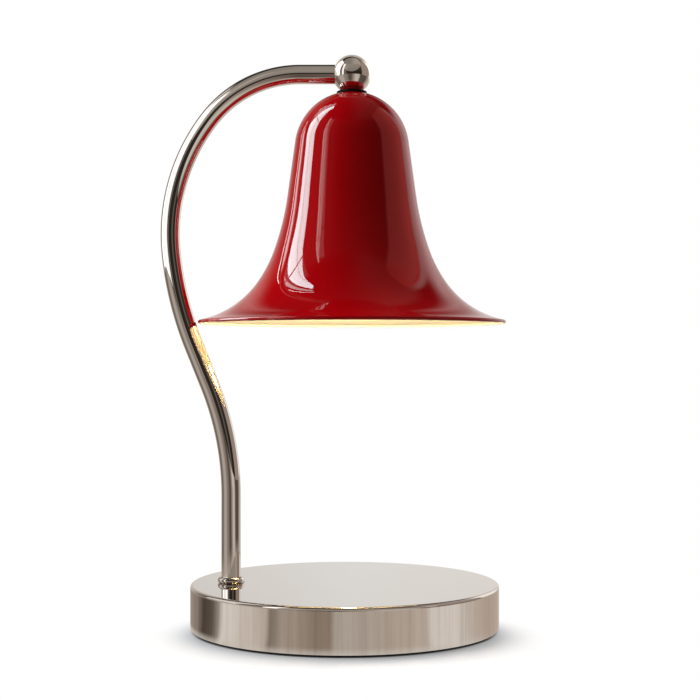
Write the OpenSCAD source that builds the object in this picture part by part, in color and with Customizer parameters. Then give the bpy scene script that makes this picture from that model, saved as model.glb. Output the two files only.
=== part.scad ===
// Candle warmer lamp: a weighted base, a bowed tube arm, a ball at its end, and a bell shade
// that turns under the ball and holds a reflector bulb with a bayonet base.
// The origin is the centre of the base on the table. +Z is up, the arm stands on the -X side,
// the front faces -Y, and the arm, the ball and the shade's axis lie in the plane Y = 0.

/* [Overall] */
// Clear height from the base's top face to the shade's rim
opening_h = 126.2; // [105:0.1:155]
// How far the shade's axis stands from the base's centre, away from the arm
head_x = 3.5; // [0:0.5:8]

/* [Base] */
// Outside diameter of the base
base_d = 150; // [125:1:185]
// Height of the base's top face above the table
base_h = 22; // [19:0.5:30]
// Wall of the spun base shell
base_wall = 1.2; // [0.8:0.1:1.5]
// Radius on the shell's top edge
base_edge_r = 1.4; // [0.8:0.1:2.5]
// Height of the shell's lower rim above the table, which shows as a dark line
shadow_gap = 1; // [0.6:0.1:1.4]
// Thickness of the soft pad that the lamp stands on
pad_t = 1.6; // [1.5:0.1:2]
// How far the pad stays inside the base's edge
pad_inset = 6; // [4:0.5:10]
// Thickness of the bottom plate
plate_t = 2; // [1.8:0.1:2.4]
// Clear height for wires between the bottom plate and the weight
wiring_h = 7.2; // [6:0.1:8.6]
// Bore of the bush where the cord enters at the back
inlet_bore = 6.4; // [5:0.1:7.6]

/* [Arm] */
// Outside diameter of the arm tube
arm_d = 9.5; // [8.5:0.1:12]
// Wall of the arm tube
arm_wall = 1.25; // [1:0.05:1.5]
// Distance from the base's edge to the arm's axis
foot_inset = 19.5; // [17:0.5:24]
// How far the arm's axis bows out past the shade's rim
bow_out = 13.7; // [12:0.1:20]
// Radius of the bend that leans the arm out
lean_r = 145; // [110:1:180]
// Length of the straight run between the lean and the bow
lean_run = 20; // [10:1:30]
// Radius of the bow's long bend
bow_r = 165; // [130:1:190]
// Outward lean, in degrees, where the bow tightens into the shoulder
bow_lean = 5.5; // [3:0.5:7]
// Radius of the shoulder bend
shoulder_r = 92; // [75:1:112]
// Inward lean, in degrees, where the shoulder tightens into the crown
shoulder_lean = 37.5; // [30:0.5:45]
// Radius of the last bend, into the level run at the top
crown_r = 56; // [45:1:68]
// Width of the collar's ring round the arm's foot
collar_w = 1.75; // [1.5:0.05:2.5]
// Height of that collar
collar_h = 3.3; // [2.5:0.1:4]
// Depth of the shallow seat in the base's top face that the collar and the tube stand in
foot_seat = 0.3; // [0.2:0.1:0.5]

/* [Ball and swivel] */
// Diameter of the ball
ball_d = 19; // [17:0.5:24]
// Width of the flat ring turned on the ball's underside, round its bore
ball_land = 0.7; // [0.5:0.1:1.2]
// Diameter of the dark washer between ball and shade
neck_washer_d = 14.8; // [12:0.1:18]
// Thickness of that washer
neck_washer_t = 1.3; // [1:0.1:2]
// Outside diameter of the hollow nipple that turns in the ball
swivel_d = 8; // [7.4:0.1:9]
// Diameter of an insulated wire inside the lamp
wire_d = 2.2; // [1.8:0.1:2.4]
// Land left in the swivel nipple's groove, in degrees, which is the swivel's stop
stop_land = 28; // [20:1:40]

/* [Shade] */
// Diameter of the shade over its rolled rim
shade_d = 150; // [125:1:180]
// Height of the shade, from the rim to the flat under the washer
shade_h = 112.3; // [94:0.1:135]
// Sheet thickness of the shade
shade_wall = 1; // [0.8:0.1:1.4]
// Radius of the dome
dome_r = 28; // [26:0.5:34]
// Diameter of the flat on top of the dome
shade_flat_d = 15; // [14.8:0.1:18]
// Taper of the waist, in degrees from upright
waist_taper = 7.9; // [5:0.1:10]
// Radius of the flare's first stretch
flare_r1 = 136; // [110:1:165]
// Slope, in degrees from upright, at the end of the first stretch
flare_slope1 = 19.5; // [16:0.5:24]
// Radius of the flare's second stretch
flare_r2 = 66; // [55:1:80]
// Slope at the end of the second stretch
flare_slope2 = 34.3; // [30:0.1:40]
// Slope of the flare where it meets the rim
rim_slope = 78.2; // [70:0.1:82]
// Radius of the bead rolled along the rim
bead_r = 0.9; // [0.8:0.1:1.4]

/* [Bulb] */
// Diameter of the bulb's rim
bulb_d = 50; // [45:0.5:51]
// Length of the bulb from its base's end face to its front
bulb_h = 46.5; // [44:0.5:52]
// Distance between the bulb's two pins
pin_pitch = 10; // [10:0.5:11]
// Diameter of the pins' heads
pin_head_d = 5; // [4.8:0.1:5.2]
// Diameter of the pins' necks
pin_neck_d = 3; // [2.8:0.1:3.2]
// Turn, in degrees, that locks the bulb
lock_turn = 40; // [30:1:45]

/* [Hidden] */

$fn = 72;
over = 1; // how far a cutter runs past what it cuts
play = 0.05; // radial clearance of a shaft in its hole
slack = 0.1; // radial clearance of a washer, a screw or a wire in its hole

// Base stack, from the table up
base_r = base_d / 2;
plate_z = pad_t;
wiring_z = plate_z + plate_t;
weight_z = wiring_z + wiring_h;
shell_top = base_h - base_wall;
shell_inner_r = base_r - base_wall;
plate_r = shell_inner_r - 0.4;
weight_r = shell_inner_r - 0.8;

// Two internal wires, side by side across the arm's plane, low above the plate
wire_r = wire_d / 2;
wire_y = wire_r + 0.05;
wire_z = wiring_z + 3.9;
foot_bend_r = 4.5;

// The hollow nipples share a bore that passes both wires
nipple_bore_r = wire_y + wire_r + 0.35;
swivel_r = swivel_d / 2;
nut_t = 3;
nut_rim = 2.5;
function nut_r(bolt_r) = (bolt_r + nut_rim) / cos(30);

// The foot's clamp, from the wires up: nipple through shell and weight, thin nut, toothed washer.
// The nipple is screwed into the tube, whose end is opened out by half a millimetre for it.
arm_r = arm_d / 2;
arm_bore_r = arm_r - arm_wall;
foot_nipple_r = arm_bore_r + 0.5;
foot_nipple_z = wire_z + foot_bend_r;
foot_nipple_grip = 8;
foot_nut_z = foot_nipple_z + 1;
foot_washer_z = foot_nut_z + nut_t;
foot_washer_t = 0.8;
foot_web_z = foot_washer_z + foot_washer_t;
foot_pocket_r = nut_r(foot_nipple_r) + 4.5;
foot_x = -(base_r - foot_inset);
foot_z = base_h - foot_seat;
collar_r = arm_r + collar_w;

// Bottom plate screws and the weight's bosses for them
plate_screw_r = base_r - 15;
plate_screw_angles = [30, 150, 270];
boss_r = 4.5;
m3_r = 1.5;
m3_head_r = 2.75;
m3_head_h = 2;
countersink_h = 1.6;
plate_screw_l = 9;

// Terminal block, behind the base's centre, entered by the wires along +Y
block_y = base_r - 41;
block_l = 16;
pole_pitch = 10;
sleeve_bore_r = wire_r + 0.6;
sleeve_r = sleeve_bore_r + 0.7;
sleeve_l = block_l - 1;
block_w = pole_pitch + 2 * sleeve_r + 4.4;
block_z = wire_z - sleeve_r - 0.7;
block_h = 11.2;
block_top = block_z + block_h;
block_screw_bite = min(3, shell_top - block_top - 0.6);
tab_t = 3;
tab_w = 7;
tab_screw_x = block_w / 2 + m3_head_r + 0.4;
tab_end_x = tab_screw_x + 3.2;
clamp_screw_y = 4;
wire_in_sleeve = 4.5;

// Cord inlet at the back of the base
bush_r = inlet_bore / 2 + 0.9;
bush_flange_r = bush_r + 1.6;
bush_z = wiring_z + bush_flange_r + 0.7;
bush_flange_t = 1.5;
bush_sag = base_r - sqrt(pow(base_r, 2) - pow(bush_flange_r, 2));
trench_w = 2 * bush_flange_r + 2.4;
trench_top = bush_z + bush_flange_r + 1.2;

// Heights from the rim up to the ball
rim_z = base_h + opening_h;
shade_top = rim_z + shade_h;
neck_top = shade_top + neck_washer_t;
ball_r = ball_d / 2;
ball_flat_r = swivel_r + ball_land;
ball_z = neck_top + sqrt(pow(ball_r, 2) - pow(ball_flat_r, 2));

// The arm's socket in the ball and the swivel's bore, groove and stop screw
socket_x = swivel_r + 2;
wire_way_r = wire_y + wire_r + 1;
ball_bend_r = 3.6;
wire_split_z = ball_z - ball_bend_r;
swivel_top = wire_split_z - 0.1;
stop_z = (neck_top + swivel_top) / 2;
groove_w = 2.2;
groove_d = swivel_r - nipple_bore_r - 0.6;
stop_tip_r = groove_w / 2 - slack;

// Everything clamped on the swivel nipple inside the shade, from the top down
washer_t = 1;
bracket_t = 1.5;
shade_washer_z = shade_top - shade_wall - washer_t;
shade_nut_z = shade_washer_z - nut_t;
bracket_z = shade_nut_z - bracket_t;
bracket_nut_z = bracket_z - nut_t;
swivel_bottom = bracket_nut_z - 0.8;

// Lampholder under the bracket
holder_drop = 7;
holder_h = 15.2;
holder_top = swivel_bottom - holder_drop;
holder_face = holder_top - holder_h;
holder_core_r = pin_pitch / 2 + 7.5;
holder_flat = 20;
ear_t = 5;
ear_w = 12;
ear_screw_x = holder_core_r + 0.8;
ear_end_r = ear_screw_x + 3.2;
leg_x = nut_r(swivel_r) + 1.1;
bracket_w = 14;

// Pins and the keyhole slots that they turn in
pin_r = pin_pitch / 2;
pin_h = 7.2;
pin_head_h = 2.6;
slot_gap = 0.2;
lip_t = pin_h - pin_head_h - 2 * slot_gap;
contact_t = 0.4;
slot_top = pin_h + slot_gap + contact_t;
contact_barrel_r = 2;
contact_barrel_h = 4.2;
pin_root = 3;

// Bulb, measured down from the lampholder's face
bulb_top = holder_face - slack;
neck_in = 13;
cup_start = 17;
cup_wall = 1.5;
bulb_rim_h = 4;
bulb_neck_r = 9;
bulb_base_r = 12;
bulb_tip_r = 9.4;
lens_r = bulb_d / 2 - 2;
lens_t = 1.5;
capsule_r = 4.5;
capsule_h = 21;

// Points on an arc round c from angle a0 to a1, at most a step apart
function arc(c, r, a0, a1, step = 3) =
    let (n = max(1, ceil(abs(a1 - a0) / step)))
    [for (i = [0:n]) c + r * [cos(a0 + (a1 - a0) * i / n), sin(a0 + (a1 - a0) * i / n)]];
function reversed(list) = [for (i = [len(list) - 1:-1:0]) list[i]];
function unit(a) = [cos(a), sin(a)];

// ---- the arm's route

// The lean that carries the arm's axis out to the bow: with every bend between upright and
// upright, the sideways reach is (lean_r + bow_r) * (1 - cos(lean)) + lean_run * sin(lean)
bow_x = head_x - shade_d / 2 - bow_out;
bow_reach = foot_x - bow_x + (bow_r - shoulder_r) * (1 - cos(bow_lean));
lean = acos((lean_r + bow_r - bow_reach) / norm([lean_r + bow_r, lean_run]))
    - atan(lean_run / (lean_r + bow_r));
foot_rise = ball_z - foot_z - lean_r * sin(lean) - lean_run * cos(lean)
    - bow_r * (sin(lean) - sin(bow_lean)) - shoulder_r * (sin(bow_lean) + sin(shoulder_lean))
    - crown_r * (1 - sin(shoulder_lean));
crown_x = bow_x + shoulder_r * (1 - cos(shoulder_lean)) + crown_r * cos(shoulder_lean);

// The arm bends round an axis along -Y, so plus turns it towards -X and minus towards +X
arm_axis = [0, -1, 0];
bends = [
    [foot_rise],
    [lean_r, lean, arm_axis],
    [lean_run],
    [bow_r, bow_lean - lean, arm_axis],
    [shoulder_r, -bow_lean - shoulder_lean, arm_axis],
    [crown_r, shoulder_lean - 90, arm_axis]
];
arm_frames = frames([[foot_x, 0, foot_z], [0, 0, 1], [1, 0, 0]],
    concat(bends, [[head_x - socket_x - crown_x]]), 4);

// A frame is [place, way, side]. A route is a list of straights [length] and bends
// [radius, turn, axis], where a plus turn is by the right-hand rule about the axis.
function spin(v, k, a) = v * cos(a) + cross(k, v) * sin(a) + k * (k * v) * (1 - cos(a));
function after(f, s) =
    len(s) == 1 ? [f[0] + s[0] * f[1], f[1], f[2]]
    : let (c = f[0] + sign(s[1]) * s[0] * cross(s[2], f[1]))
        [c + spin(f[0] - c, s[2], s[1]), spin(f[1], s[2], s[1]), spin(f[2], s[2], s[1])];
function steps(s, step) =
    let (n = len(s) == 1 ? 1 : ceil(abs(s[1]) / step))
    [for (k = [1:n]) len(s) == 1 ? s : [s[0], s[1] * k / n, s[2]]];
function frames(f, route, step, i = 0) =
    i == len(route) ? [f]
    : concat([f], [for (s = steps(route[i], step)) if (s != route[i]) after(f, s)],
        frames(after(f, route[i]), route, step, i + 1));

// The points of a ring round a frame
function ring(f, r, sides) =
    [for (a = [0:360 / sides:359]) f[0] + r * (cos(a) * f[2] + sin(a) * cross(f[1], f[2]))];

// A skin over a list of rings: a rod with flat ends, or a loop where the last meets the first
module skin(rings, loop = false) {
    n = len(rings);
    m = len(rings[0]);
    sides = [
        for (i = [0:n - (loop ? 1 : 2)], j = [0:m - 1])
            let (next = (i + 1) % n * m, k = (j + 1) % m) [i * m + j, next + j, next + k, i * m + k]
    ];
    ends = loop ? [] : [[for (j = [0:m - 1]) j], [for (j = [m - 1:-1:0]) (n - 1) * m + j]];
    polyhedron([for (r = rings) each r], concat(sides, ends));
}

// ---- shared shapes

module tube(h, r, bore_r) {
    difference() {
        cylinder(h = h, r = r);
        translate([0, 0, -over]) cylinder(h = h + 2 * over, r = bore_r);
    }
}

module thin_nut(bolt_r) {
    difference() {
        cylinder(h = nut_t, r = nut_r(bolt_r), $fn = 6);
        translate([0, 0, -over]) cylinder(h = nut_t + 2 * over, r = bolt_r + play);
    }
}

// Pan-head screw: its head's underside at z = 0 and its shank upwards
module pan_screw(shank_l) {
    cylinder(h = shank_l, r = m3_r);
    difference() {
        translate([0, 0, -m3_head_h]) cylinder(h = m3_head_h, r = m3_head_r);
        cross_slot(-m3_head_h);
    }
}

module cross_slot(z) {
    for (a = [0, 90])
        rotate([0, 0, a]) translate([-m3_r, -0.35, z - over]) cube([2 * m3_r, 0.7, over + 0.9]);
}

module at_plate_screws() {
    for (a = plate_screw_angles) rotate([0, 0, a]) translate([plate_screw_r, 0, 0]) children();
}

// ---- base

module base_shell() {
    inner_edge_r = max(base_edge_r - base_wall, 0.2);
    outer_c = [base_r - base_edge_r, base_h - base_edge_r];
    inner_c = [shell_inner_r - inner_edge_r, shell_top - inner_edge_r];
    profile = concat(
        [[0, base_h]],
        arc(outer_c, base_edge_r, 90, 0, 15),
        [[base_r, shadow_gap + 0.3], [base_r - 0.3, shadow_gap], [shell_inner_r, shadow_gap]],
        arc(inner_c, inner_edge_r, 0, 90, 30),
        [[0, shell_top]]
    );
    color("silver") difference() {
        rotate_extrude() polygon(profile);
        translate([foot_x, 0, shell_top - over])
            cylinder(h = base_wall + 2 * over, r = foot_nipple_r + slack);
        translate([foot_x, 0, foot_z]) cylinder(h = foot_seat + over, r = collar_r + slack);
        translate([0, base_r - 4, bush_z]) rotate([-90, 0, 0])
            cylinder(h = 4 + over, r = bush_r + slack);
    }
}

module base_weight() {
    chamfer = 1.5;
    color("dimgray") difference() {
        union() {
            rotate_extrude() polygon([
                [0, weight_z], [weight_r, weight_z], [weight_r, shell_top - chamfer],
                [weight_r - chamfer, shell_top], [0, shell_top]
            ]);
            at_plate_screws() translate([0, 0, wiring_z]) cylinder(h = wiring_h + over, r = boss_r);
        }
        translate([foot_x, 0, weight_z - over])
            cylinder(h = foot_web_z - weight_z + over, r = foot_pocket_r);
        translate([foot_x, 0, weight_z]) cylinder(h = base_h, r = foot_nipple_r + slack);
        translate([-tab_end_x - 1, block_y - block_l / 2 - 2, weight_z - over])
            cube([2 * tab_end_x + 2, block_l + 4, block_top - weight_z + over]);
        translate([-trench_w / 2, block_y, weight_z - over])
            cube([trench_w, base_r, trench_top - weight_z + over]);
        at_plate_screws() translate([0, 0, wiring_z - over])
            cylinder(h = plate_screw_l + over, r = m3_r + play);
        for (s = [-1, 1]) translate([s * tab_screw_x, block_y, block_top - over])
            cylinder(h = block_screw_bite + 0.5 + over, r = m3_r + play);
    }
}

module base_plate() {
    color("gray") difference() {
        translate([0, 0, plate_z]) cylinder(h = plate_t, r = plate_r);
        at_plate_screws() {
            translate([0, 0, plate_z - over]) cylinder(h = plate_t + 2 * over, r = m3_r + slack);
            translate([0, 0, plate_z - 0.01])
                cylinder(h = countersink_h, r1 = m3_head_r + slack, r2 = m3_r + slack);
        }
    }
}

module base_screws() {
    color("silver") at_plate_screws() translate([0, 0, plate_z]) difference() {
        union() {
            cylinder(h = countersink_h, r1 = m3_head_r, r2 = m3_r);
            cylinder(h = plate_t + plate_screw_l - 0.5, r = m3_r);
        }
        cross_slot(0);
    }
}

module base_pad() {
    color("black") difference() {
        cylinder(h = pad_t, r = base_r - pad_inset);
        at_plate_screws() translate([0, 0, -over]) cylinder(h = pad_t + 2 * over, r = boss_r);
    }
}

module inlet_bush() {
    outer_l = bush_flange_t;
    wall_l = base_wall + bush_sag + 0.1;
    lead = 0.5;
    color("black") translate([0, base_r, bush_z]) rotate([-90, 0, 0]) difference() {
        rotate_extrude() polygon([
            [0, outer_l], [bush_flange_r - lead, outer_l], [bush_flange_r, outer_l - lead],
            [bush_flange_r, 0], [bush_r, 0], [bush_r, -wall_l], [bush_flange_r - 0.6, -wall_l],
            [bush_r, -wall_l - bush_flange_t], [0, -wall_l - bush_flange_t]
        ]);
        translate([0, 0, -10]) cylinder(h = 20, r = inlet_bore / 2);
    }
}

// ---- terminals in the base

module at_poles() {
    for (s = [-1, 1]) translate([s * pole_pitch / 2, block_y, wire_z]) children();
}

module terminal_block() {
    color("ivory") difference() {
        union() {
            translate([-block_w / 2, block_y - block_l / 2, block_z]) cube([block_w, block_l, block_h]);
            translate([-tab_end_x, block_y - tab_w / 2, block_top - tab_t])
                cube([2 * tab_end_x, tab_w, tab_t]);
        }
        at_poles() {
            rotate([90, 0, 0]) cylinder(h = block_l + 2 * over, r = sleeve_r + play, center = true);
            for (y = [-clamp_screw_y, clamp_screw_y]) translate([0, y, -sleeve_r - 2])
                cylinder(h = sleeve_r + 2, r = m3_r + 0.4);
        }
        translate([-1, block_y - block_l / 2 - over, block_z - over])
            cube([2, block_l + 2 * over, 3.5 + over]);
        for (s = [-1, 1]) translate([s * tab_screw_x, block_y, block_top - tab_t - over])
            cylinder(h = tab_t + 2 * over, r = m3_r + slack);
    }
}

module terminal_sleeves() {
    color("gold") at_poles() difference() {
        rotate([90, 0, 0]) cylinder(h = sleeve_l, r = sleeve_r, center = true);
        rotate([90, 0, 0]) cylinder(h = sleeve_l + 2 * over, r = sleeve_bore_r, center = true);
        for (y = [-clamp_screw_y, clamp_screw_y]) translate([0, y, -sleeve_r - over])
            cylinder(h = sleeve_r + over, r = m3_r + play);
    }
}

module terminal_screws() {
    screw_l = 1.8;
    color("silver") at_poles() for (y = [-clamp_screw_y, clamp_screw_y])
        translate([0, y, -wire_r - play - screw_l]) difference() {
            cylinder(h = screw_l, r = m3_r);
            translate([-2, -0.3, -over]) cube([4, 0.6, over + 0.6]);
        }
}

module block_screws() {
    color("silver") for (s = [-1, 1]) translate([s * tab_screw_x, block_y, block_top - tab_t])
        pan_screw(tab_t + block_screw_bite);
}

// ---- arm

module arm_tube() {
    sides = 32;
    grip_r = foot_nipple_r + play;
    grip = [arm_frames[0], after(arm_frames[0], [foot_nipple_grip + 0.5])];
    outside = [for (f = arm_frames) ring(f, arm_r, sides)];
    inside = concat(
        [for (f = grip) ring(f, grip_r, sides)],
        [ring(grip[1], arm_bore_r, sides)],
        [for (i = [1:len(arm_frames) - 1]) ring(arm_frames[i], arm_bore_r, sides)]
    );
    color("silver") skin(concat(outside, reversed(inside)), loop = true);
}

module arm_collar() {
    edge_r = min(collar_h / 2, collar_w - play);
    c = [collar_r - edge_r, collar_h / 2];
    color("silver") translate([foot_x, 0, foot_z]) rotate_extrude()
        polygon(concat([[arm_r + play, 0]], arc(c, edge_r, -90, 90, 12), [[arm_r + play, collar_h]]));
}

module foot_nipple() {
    color("goldenrod") translate([foot_x, 0, foot_nipple_z])
        tube(foot_z + foot_nipple_grip - foot_nipple_z, foot_nipple_r, nipple_bore_r);
}

module foot_washer() {
    teeth = 12;
    washer_r = nut_r(foot_nipple_r) + 1.4;
    color("silver") translate([foot_x, 0, foot_washer_z]) difference() {
        tube(foot_washer_t, washer_r, foot_nipple_r + slack);
        for (i = [0:teeth - 1]) rotate([0, 0, i * 360 / teeth]) translate([washer_r, 0, -over])
            cylinder(h = foot_washer_t + 2 * over, r = 1);
    }
}

module foot_nut() {
    color("silver") translate([foot_x, 0, foot_nut_z]) thin_nut(foot_nipple_r);
}

module ball() {
    color("silver") translate([head_x, 0, ball_z]) difference() {
        sphere(ball_r);
        translate([0, 0, neck_top - ball_z - ball_r]) cylinder(h = ball_r, r = ball_r);
        translate([0, 0, -ball_r]) cylinder(h = ball_r + wire_way_r + 0.4, r = swivel_r + play);
        rotate([0, -90, 0]) translate([0, 0, socket_x]) cylinder(h = ball_r, r = arm_r + play);
        rotate([0, -90, 0]) cylinder(h = ball_r, r = wire_way_r);
        translate([0, 0, stop_z - ball_z]) rotate([-90, 0, 0]) cylinder(h = ball_r, r = m3_r);
    }
}

// Dog-point grub screw at the ball's back, its tip in the swivel nipple's groove
module stop_screw() {
    tip_y = swivel_r - groove_d + 0.15;
    shank_y = swivel_r + 0.3;
    end_y = sqrt(pow(ball_r, 2) - pow(ball_z - stop_z, 2)) - 0.4;
    key_af = 1.5;
    color("dimgray") translate([head_x, 0, stop_z]) rotate([-90, 0, 0]) difference() {
        union() {
            translate([0, 0, tip_y]) cylinder(h = shank_y - tip_y + 0.5, r = stop_tip_r);
            translate([0, 0, shank_y]) cylinder(h = end_y - shank_y, r = m3_r - play);
        }
        translate([0, 0, end_y - 1.3]) cylinder(h = 2, r = key_af / 2 / cos(30), $fn = 6);
    }
}

// One wire: its tail from the terminal block to the foot, then up the arm and into the ball.
// side is 1 or -1 for the wire nearer the back or the front.
module arm_wire(side) {
    corner_r = 4;
    pole_x = -side * pole_pitch / 2;
    tail_y = block_y - block_l / 2 + wire_in_sleeve;
    route = concat(
        [
            [tail_y - side * wire_y - corner_r],
            [corner_r, -90, [0, 0, 1]],
            [pole_x - corner_r - foot_x - foot_bend_r],
            [foot_bend_r, -90, arm_axis],
            [foot_z - foot_nipple_z]
        ],
        bends,
        [[head_x - ball_bend_r - crown_x], [ball_bend_r, -90, arm_axis]]
    );
    wire_skin([[pole_x, tail_y, wire_z], [0, -1, 0], [0, 0, 1]], route);
}

module wire_skin(start, route) {
    skin([for (f = frames(start, route, 9)) ring(f, wire_r, 8)]);
}

module live_wire() {
    color("saddlebrown") arm_wire(1);
}

module neutral_wire() {
    color("royalblue") arm_wire(-1);
}

// ---- swivelling head

module swivel_nipple() {
    color("goldenrod") translate([head_x, 0, 0]) difference() {
        translate([0, 0, swivel_bottom])
            tube(swivel_top - swivel_bottom, swivel_r, nipple_bore_r);
        translate([0, 0, stop_z - groove_w / 2]) rotate([0, 0, stop_land / 2 - 90])
            rotate_extrude(angle = 360 - stop_land)
                translate([swivel_r - groove_d, 0]) square([groove_d + over, groove_w]);
    }
}

module neck_washer() {
    color("black") translate([head_x, 0, shade_top])
        tube(neck_washer_t, neck_washer_d / 2, swivel_r + slack);
}

// The bell's profile runs from the flat on top, over the dome, down the tapered waist and out
// through three tangent stretches of flare to the bead. Its waist's length and its last radius
// are solved so that it ends at the rim's diameter and height.
dome_rise = sqrt(pow(dome_r, 2) - pow(shade_flat_d / 2, 2));
dome_c = [0, shade_h - dome_rise];
bead_c = [shade_d / 2 - bead_r, bead_r];
flare_end = bead_c + bead_r * unit(rim_slope);
waist_top = dome_c + dome_r * unit(waist_taper);
left_over = flare_end - waist_top
    - flare_r1 * (unit(waist_taper) - unit(flare_slope1))
    - flare_r2 * (unit(flare_slope1) - unit(flare_slope2));
last_way = unit(flare_slope2) - unit(rim_slope);
waist_way = [sin(waist_taper), -cos(waist_taper)];
crossed = waist_way.x * last_way.y - waist_way.y * last_way.x;
waist_run = (left_over.x * last_way.y - left_over.y * last_way.x) / crossed;
flare_r3 = (waist_way.x * left_over.y - waist_way.y * left_over.x) / crossed;
flare_c1 = waist_top + waist_run * waist_way + flare_r1 * unit(waist_taper);
flare_c2 = flare_c1 + (flare_r2 - flare_r1) * unit(flare_slope1);
flare_c3 = flare_c2 + (flare_r3 - flare_r2) * unit(flare_slope2);

// The bell's side at a depth below its outer face, down to a given slope
function bell_side(depth, end_slope) = concat(
    arc(dome_c, dome_r - depth, asin((dome_rise - depth) / (dome_r - depth)), waist_taper),
    arc(flare_c1, -flare_r1 - depth, waist_taper, flare_slope1),
    arc(flare_c2, -flare_r2 - depth, flare_slope1, flare_slope2),
    arc(flare_c3, -flare_r3 - depth, flare_slope2, end_slope)
);

module shade() {
    bead_back = sqrt(pow(bead_r, 2) - pow(shade_wall - bead_r, 2));
    inner_end = rim_slope - asin(bead_back / (flare_r3 + shade_wall));
    bead_end = rim_slope + 90 + asin((shade_wall - bead_r) / bead_r) - 360;
    hole_r = swivel_r + slack;
    profile = concat(
        [[hole_r, shade_h]],
        bell_side(0, rim_slope),
        arc(bead_c, bead_r, rim_slope, bead_end + 8, 15),
        reversed(bell_side(shade_wall, inner_end)),
        [[hole_r, shade_h - shade_wall]]
    );
    color("firebrick") translate([head_x, 0, rim_z]) rotate_extrude() polygon(profile);
}

module shade_washer() {
    color("silver") translate([head_x, 0, shade_washer_z])
        tube(washer_t, shade_flat_d / 2 - 0.5, swivel_r + slack);
}

module shade_nut() {
    color("silver") translate([head_x, 0, shade_nut_z]) thin_nut(swivel_r);
}

module holder_bracket() {
    leg_h = bracket_z - holder_top;
    color("gainsboro") translate([head_x, 0, holder_top]) difference() {
        union() {
            translate([-leg_x - bracket_t, -bracket_w / 2, leg_h])
                cube([2 * (leg_x + bracket_t), bracket_w, bracket_t]);
            for (s = [0, 1]) mirror([s, 0, 0]) {
                translate([leg_x, -bracket_w / 2, 0]) cube([bracket_t, bracket_w, leg_h + over]);
                intersection() {
                    translate([leg_x, -bracket_w / 2, 0])
                        cube([ear_end_r, bracket_w, bracket_t]);
                    cylinder(h = bracket_t, r = ear_end_r);
                }
            }
        }
        translate([0, 0, leg_h - over]) cylinder(h = 2 * over + bracket_t, r = swivel_r + slack);
        for (s = [-1, 1]) translate([s * ear_screw_x, 0, -over])
            cylinder(h = 2 * over + bracket_t, r = m3_r + play);
    }
}

module bracket_nut() {
    color("silver") translate([head_x, 0, bracket_nut_z]) thin_nut(swivel_r);
}

// A slot that follows the pins' circle, from where they enter to where they lock
module turn_slot(w, z, h) {
    for (a = [90, 270]) rotate([0, 0, a]) translate([0, 0, z]) {
        rotate([0, 0, -lock_turn]) rotate_extrude(angle = lock_turn)
            translate([pin_r - w / 2, 0]) square([w, h]);
        for (end = [0, -lock_turn]) rotate([0, 0, end]) translate([pin_r, 0, 0])
            cylinder(h = h, r = w / 2);
    }
}

module lampholder() {
    head_w = pin_head_d + 2 * slot_gap;
    color("white") translate([head_x, 0, holder_face]) difference() {
        union() {
            intersection() {
                cylinder(h = holder_h, r = holder_core_r);
                translate([-holder_core_r - over, -holder_flat / 2, 0])
                    cube([2 * (holder_core_r + over), holder_flat, holder_h]);
            }
            intersection() {
                translate([0, 0, holder_h - ear_t]) cylinder(h = ear_t, r = ear_end_r);
                translate([-ear_end_r - over, -ear_w / 2, 0])
                    cube([2 * (ear_end_r + over), ear_w, holder_h]);
            }
        }
        turn_slot(pin_neck_d + 2 * slot_gap, -over, lip_t + 2 * over);
        turn_slot(head_w, lip_t, slot_top - lip_t);
        for (a = [90, 270]) rotate([0, 0, a]) {
            rotate([0, 0, -lock_turn]) translate([pin_r, 0, -over])
                cylinder(h = lip_t + 2 * over, r = head_w / 2);
            translate([pin_r, 0, slot_top - over])
                cylinder(h = holder_h, r = contact_barrel_r + slack);
        }
        for (s = [-1, 1]) translate([s * ear_screw_x, 0, 0])
            cylinder(h = holder_h + over, r = m3_r + slack);
        for (s = [-1, 1]) translate([s * (holder_core_r + over), 0, -over])
            cylinder(h = holder_h - ear_t + over, r = m3_head_r + over);
    }
}

module lampholder_contacts() {
    color("gold") for (a = [90, 270]) translate([head_x, 0, holder_face + slot_top])
        rotate([0, 0, a]) translate([pin_r, 0, 0]) difference() {
            union() {
                translate([0, 0, -contact_t]) cylinder(h = contact_t, r = pin_head_d / 2 - slack);
                cylinder(h = contact_barrel_h, r = contact_barrel_r);
            }
            translate([0, 0, contact_barrel_h / 2])
                cylinder(h = contact_barrel_h, r = wire_r + slack);
        }
}

module holder_screws() {
    color("silver") for (s = [-1, 1])
        translate([head_x + s * ear_screw_x, 0, holder_top - ear_t])
            pan_screw(ear_t + bracket_t + 0.6);
}

// One wire below the swivel: down the nipple, then out sideways to its contact's barrel
module head_wire(side) {
    bend_r = 3;
    bend = 60;
    spread = pin_r - wire_y - 2 * bend_r * (1 - cos(bend));
    slant = spread / sin(bend);
    bends_h = 2 * bend_r * sin(bend) + slant * cos(bend);
    end_z = holder_face + slot_top + contact_barrel_h / 2 + play;
    route = [
        [wire_split_z - swivel_bottom],
        [bend_r, bend, [side, 0, 0]],
        [slant],
        [bend_r, -bend, [side, 0, 0]],
        [swivel_bottom - bends_h - end_z]
    ];
    wire_skin([[head_x, side * wire_y, wire_split_z - play], [0, 0, -1], [1, 0, 0]], route);
}

module head_live_wire() {
    color("saddlebrown") head_wire(1);
}

module head_neutral_wire() {
    color("royalblue") head_wire(-1);
}

// ---- bulb, drawn downwards from its base's end face

// The reflector's cup: its radius grows steadily while its depth grows as the square
function cup(r0, r1, d0, d1) = [for (i = [0:12]) [r0 + (r1 - r0) * i / 12, -d0 - (d1 - d0) * pow(i / 12, 2)]];

module at_bulb() {
    translate([head_x, 0, bulb_top]) children();
}

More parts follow.
